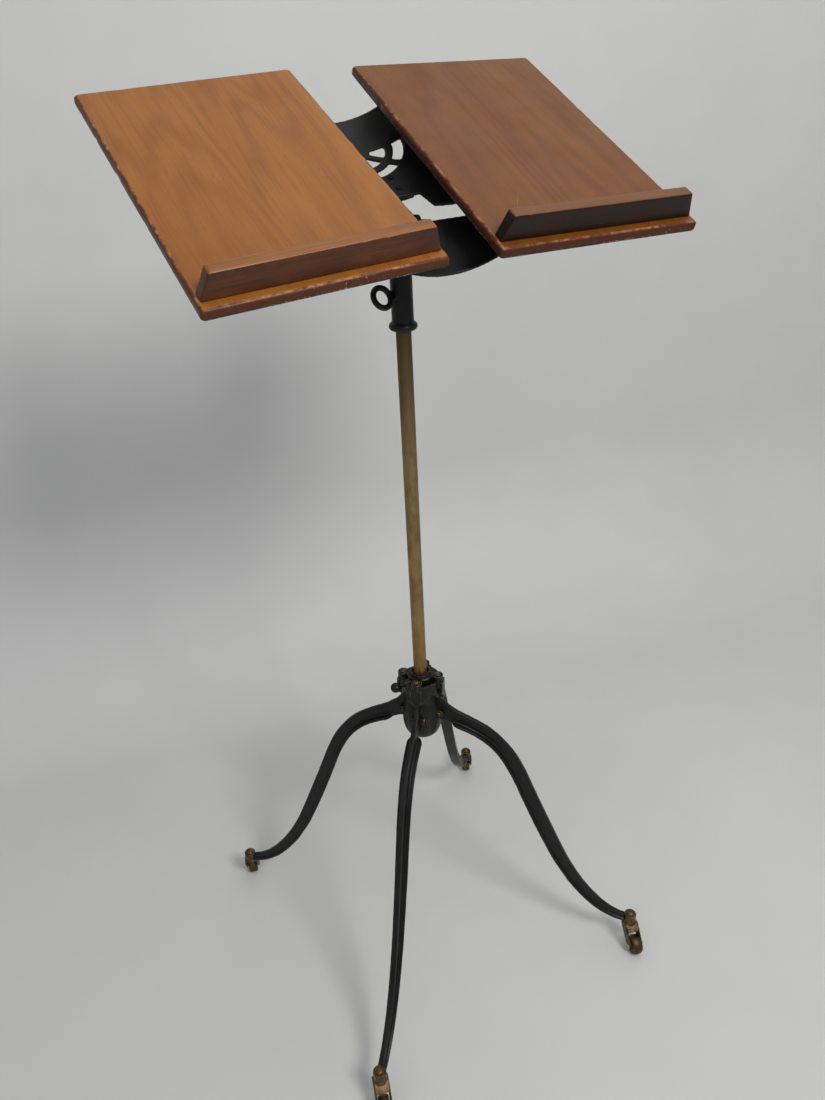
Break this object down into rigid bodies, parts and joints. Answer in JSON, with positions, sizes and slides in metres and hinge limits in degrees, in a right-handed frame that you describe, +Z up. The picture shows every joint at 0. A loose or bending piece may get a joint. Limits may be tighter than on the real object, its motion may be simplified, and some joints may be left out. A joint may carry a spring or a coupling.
{
  "type": "lectern stand",
  "caption": "Antique folio stand: tilting pair of hardwood leaves with book ledges on a telescoping brass pole over a cast-iron cabriole-leg base with casters.",
  "frame": {"origin": "on the floor, under the pole's axis", "axes": "+Z up, the reader stands on the -Y side facing +Y, +X is the reader's right"},
  "size_m": [0.5886, 0.5659, 1.2979],
  "materials": {
    "leaf_wood": "satin varnish over cherry-brown hardwood, worn edges",
    "ledge_wood": "dark stained hardwood, rubbed edges",
    "black_iron": "old black japan over cast iron",
    "worn_iron": "worn dark iron with brassy rubbed edges",
    "pole_brass": "aged unpolished brass",
    "caster_brass": "tarnished brass",
    "screw_steel": "dull steel"
  },
  "bodies": {
    "base": {"hub_body": "black_iron", "hub_collar_plate": "black_iron", "hub_collar_screws": "worn_iron", "leg_root_pins": "worn_iron", "leg_front_left": "black_iron", "leg_front_right": "black_iron", "leg_rear_right": "black_iron", "leg_rear_left": "black_iron", "caster_socket_front_left": "caster_brass", "caster_socket_front_right": "caster_brass", "caster_socket_rear_right": "caster_brass", "caster_socket_rear_left": "caster_brass"},
    "height_lock": {"height_lock_screw": "black_iron"},
    "pole": {"pole": "pole_brass", "pole_end_plug": "pole_brass"},
    "socket": {"head_socket": "black_iron"},
    "swivel_lock": {"swivel_lock_screw": "black_iron"},
    "head": {"book_cradle": "black_iron", "tilt_yoke": "black_iron", "tilt_bolt": "worn_iron", "tilt_washer": "worn_iron", "yoke_screws": "screw_steel", "board_left": "leaf_wood", "board_right": "leaf_wood", "board_screws": "screw_steel", "ledge_left": "ledge_wood", "ledge_right": "ledge_wood", "ledge_screws": "screw_steel"},
    "tilt_lock": {"tilt_wing_nut": "black_iron"},
    "caster_front_left": {"caster_fork_front_left": "caster_brass", "caster_axle_front_left": "caster_brass"},
    "wheel_front_left": {"caster_wheel_front_left": "caster_brass"},
    "caster_front_right": {"caster_fork_front_right": "caster_brass", "caster_axle_front_right": "caster_brass"},
    "wheel_front_right": {"caster_wheel_front_right": "caster_brass"},
    "caster_rear_right": {"caster_fork_rear_right": "caster_brass", "caster_axle_rear_right": "caster_brass"},
    "wheel_rear_right": {"caster_wheel_rear_right": "caster_brass"},
    "caster_rear_left": {"caster_fork_rear_left": "caster_brass", "caster_axle_rear_left": "caster_brass"},
    "wheel_rear_left": {"caster_wheel_rear_left": "caster_brass"}
  },
  "joints": [
    {"name": "height_slide", "type": "slide", "parent": "base", "child": "pole", "axis": [0, 0, 1], "range_m": [-0.36, 0]},
    {"name": "height_lock_turn", "type": "hinge", "parent": "base", "child": "height_lock", "pos_m": [-0.02996, -0.00157, 0.501], "axis": [-0.9986, -0.0523, 0], "range_deg": [-180, 180]},
    {"name": "head_swivel", "type": "hinge", "parent": "pole", "child": "socket", "pos_m": [0, 0, 1.06], "axis": [0, 0, 1], "continuous": true},
    {"name": "swivel_lock_turn", "type": "hinge", "parent": "socket", "child": "swivel_lock", "pos_m": [-0.01932, -0.00518, 1.062], "axis": [-0.9659, -0.2588, 0], "range_deg": [-180, 180]},
    {"name": "head_tilt", "type": "hinge", "parent": "socket", "child": "head", "pos_m": [0, -0.00005, 1.14001], "axis": [1, 0, 0], "range_deg": [-25.6, 44.4]},
    {"name": "tilt_lock_turn", "type": "hinge", "parent": "head", "child": "tilt_lock", "pos_m": [0.02, -0.00005, 1.14001], "axis": [1, 0, 0], "continuous": true},
    {"name": "caster_swivel_front_left", "type": "hinge", "parent": "base", "child": "caster_front_left", "pos_m": [-0.22349, -0.24821, 0.06], "axis": [0, 0, 1], "continuous": true},
    {"name": "wheel_spin_front_left", "type": "hinge", "parent": "caster_front_left", "child": "wheel_front_left", "pos_m": [-0.22879, -0.26801, 0.016], "axis": [0.9659, -0.2588, 0], "continuous": true},
    {"name": "caster_swivel_front_right", "type": "hinge", "parent": "base", "child": "caster_front_right", "pos_m": [0.24821, -0.22349, 0.06], "axis": [0, 0, 1], "continuous": true},
    {"name": "wheel_spin_front_right", "type": "hinge", "parent": "caster_front_right", "child": "wheel_front_right", "pos_m": [0.24465, -0.24368, 0.016], "axis": [0.9848, -0.1736, 0], "continuous": true},
    {"name": "caster_swivel_rear_right", "type": "hinge", "parent": "base", "child": "caster_rear_right", "pos_m": [0.22349, 0.24821, 0.06], "axis": [0, 0, 1], "continuous": true},
    {"name": "wheel_spin_rear_right", "type": "hinge", "parent": "caster_rear_right", "child": "wheel_rear_right", "pos_m": [0.23311, 0.26631, 0.016], "axis": [-0.8829, 0.4695, 0], "continuous": true},
    {"name": "caster_swivel_rear_left", "type": "hinge", "parent": "base", "child": "caster_rear_left", "pos_m": [-0.24821, 0.22349, 0.06], "axis": [0, 0, 1], "continuous": true},
    {"name": "wheel_spin_rear_left", "type": "hinge", "parent": "caster_rear_left", "child": "wheel_rear_left", "pos_m": [-0.24256, 0.24319, 0.016], "axis": [-0.9613, 0.2756, 0], "continuous": true}
  ]
}
